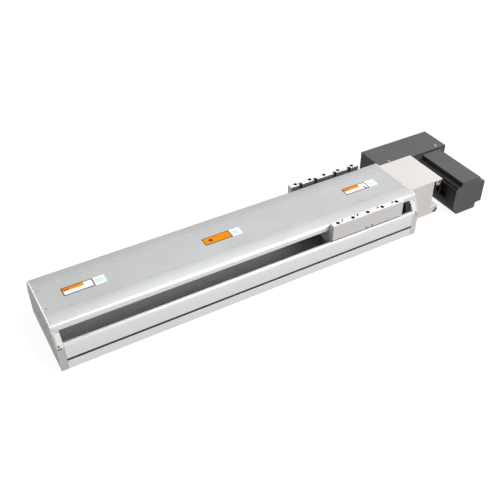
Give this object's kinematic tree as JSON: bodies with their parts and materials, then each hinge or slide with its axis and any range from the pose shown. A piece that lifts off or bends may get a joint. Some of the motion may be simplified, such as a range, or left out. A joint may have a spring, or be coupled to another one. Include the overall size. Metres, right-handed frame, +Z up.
{
  "type": "belt-driven linear module",
  "caption": "Enclosed belt-driven linear module with a slotted aluminium body, an outside carriage, and a servo motor folded back beside the drive end.",
  "frame": {"origin": "centre of the base extrusion's underside", "axes": "+X along the module towards the drive end, +Z up, away from the mounting surface"},
  "size_m": [0.955, 0.207, 0.097],
  "materials": {
    "anodised_aluminium": "clear satin anodised extrusion",
    "machined_aluminium": "fine milled and bead blasted, slightly warm",
    "brushed_aluminium": "brushed end face",
    "cream_plastic": "moulded, smooth",
    "dark_painted_metal": "fine satin dark grey paint",
    "connector_plastic": "moulded, dark brown-black",
    "bright_steel": "ground steel",
    "zinc_screw": "bright zinc",
    "black_screw": "black oxide",
    "black_rubber": "moulded rubber"
  },
  "bodies": {
    "frame": {"base_extrusion": "anodised_aluminium", "top_cover": "anodised_aluminium", "drive_end_cap": "machined_aluminium", "drive_housing": "machined_aluminium", "idler_yoke": "machined_aluminium", "idler_end_cap": "brushed_aluminium", "front_idler_slot_plate": "cream_plastic", "rear_idler_slot_plate": "cream_plastic", "front_drive_slot_plate": "cream_plastic", "rear_drive_slot_plate": "cream_plastic", "reducer_plate": "dark_painted_metal", "belt_cover": "dark_painted_metal", "motor_body": "dark_painted_metal", "motor_connector": "connector_plastic", "front_guide_rail": "bright_steel", "rear_guide_rail": "bright_steel", "idler_axle": "bright_steel", "front_drive_bearing": "bright_steel", "rear_drive_bearing": "bright_steel", "front_cover_screw": "zinc_screw", "rear_cover_screw": "zinc_screw", "upper_housing_screw": "zinc_screw", "lower_housing_screw": "zinc_screw", "left_belt_cover_screw": "zinc_screw", "right_belt_cover_screw": "zinc_screw", "upper_left_motor_screw": "zinc_screw", "upper_right_motor_screw": "zinc_screw", "lower_left_motor_screw": "zinc_screw", "lower_right_motor_screw": "zinc_screw", "front_idler_slot_plate_screw": "black_screw", "front_drive_slot_plate_screw": "black_screw", "front_tension_screw": "black_screw", "rear_tension_screw": "black_screw", "idler_end_stop": "black_rubber", "drive_end_stop": "black_rubber", "drive_belt": "black_rubber", "reducer_belt": "black_rubber"},
    "carriage": {"carriage_plate": "machined_aluminium", "front_wing": "machined_aluminium", "rear_wing": "machined_aluminium", "belt_clamp": "machined_aluminium", "front_idler_guide_block": "bright_steel", "front_drive_guide_block": "bright_steel", "rear_idler_guide_block": "bright_steel", "rear_drive_guide_block": "bright_steel", "front_wing_screw_1": "black_screw", "front_wing_screw_2": "black_screw", "front_wing_screw_3": "black_screw", "front_wing_screw_4": "black_screw", "rear_wing_screw_1": "black_screw", "rear_wing_screw_2": "black_screw", "rear_wing_screw_3": "black_screw", "rear_wing_screw_4": "black_screw"},
    "drive_spindle": {"drive_shaft": "bright_steel", "drive_pulley": "bright_steel", "reducer_pulley": "bright_steel"},
    "idler_wheel": {"idler_pulley": "bright_steel"},
    "motor_rotor": {"motor_shaft": "bright_steel", "motor_pulley": "bright_steel"}
  },
  "joints": [
    {"name": "carriage_slide", "type": "slide", "parent": "frame", "child": "carriage", "axis": [1, 0, 0], "range_m": [-0.482, 0.018]},
    {"name": "drive_spindle_spin", "type": "hinge", "parent": "frame", "child": "drive_spindle", "pos_m": [0.426, 0, 0.058], "axis": [0, 1, 0], "range_deg": [-1160, 45]},
    {"name": "idler_spin", "type": "hinge", "parent": "frame", "child": "idler_wheel", "pos_m": [-0.34, 0, 0.058], "axis": [0, 1, 0], "range_deg": [-1160, 45]},
    {"name": "motor_spin", "type": "hinge", "parent": "frame", "child": "motor_rotor", "pos_m": [0.5305, 0.03, 0.043], "axis": [0, 1, 0], "range_deg": [-1740, 68]}
  ],
  "couplings": [
    {"joint": "drive_spindle_spin", "follows": "carriage_slide", "rad_per_m": 41.888},
    {"joint": "idler_spin", "follows": "carriage_slide", "rad_per_m": 41.888},
    {"joint": "motor_spin", "follows": "carriage_slide", "rad_per_m": 62.832}
  ]
}
